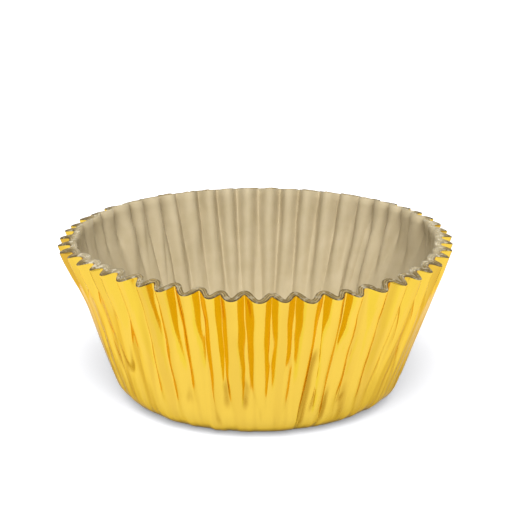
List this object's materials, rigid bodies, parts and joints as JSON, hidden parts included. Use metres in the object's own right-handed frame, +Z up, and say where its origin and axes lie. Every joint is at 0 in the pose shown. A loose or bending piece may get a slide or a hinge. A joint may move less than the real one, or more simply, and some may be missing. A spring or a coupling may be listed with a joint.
{
  "type": "cupcake liner",
  "caption": "Pleated cupcake liner of gold foil backed with paper, with a flat round base, a flared folded wall and a scalloped mouth.",
  "frame": {"origin": "centre of the flat base, on the surface that the liner stands on", "axes": "+Z up along the axis of the cup, out of its mouth; the pleats look alike all round, so +X and +Y carry no meaning of their own"},
  "size_m": [0.0716, 0.0716, 0.0297],
  "materials": {
    "gold_foil": "gloss"
  },
  "bodies": {
    "root": {"liner": "gold_foil"}
  },
  "joints": []
}
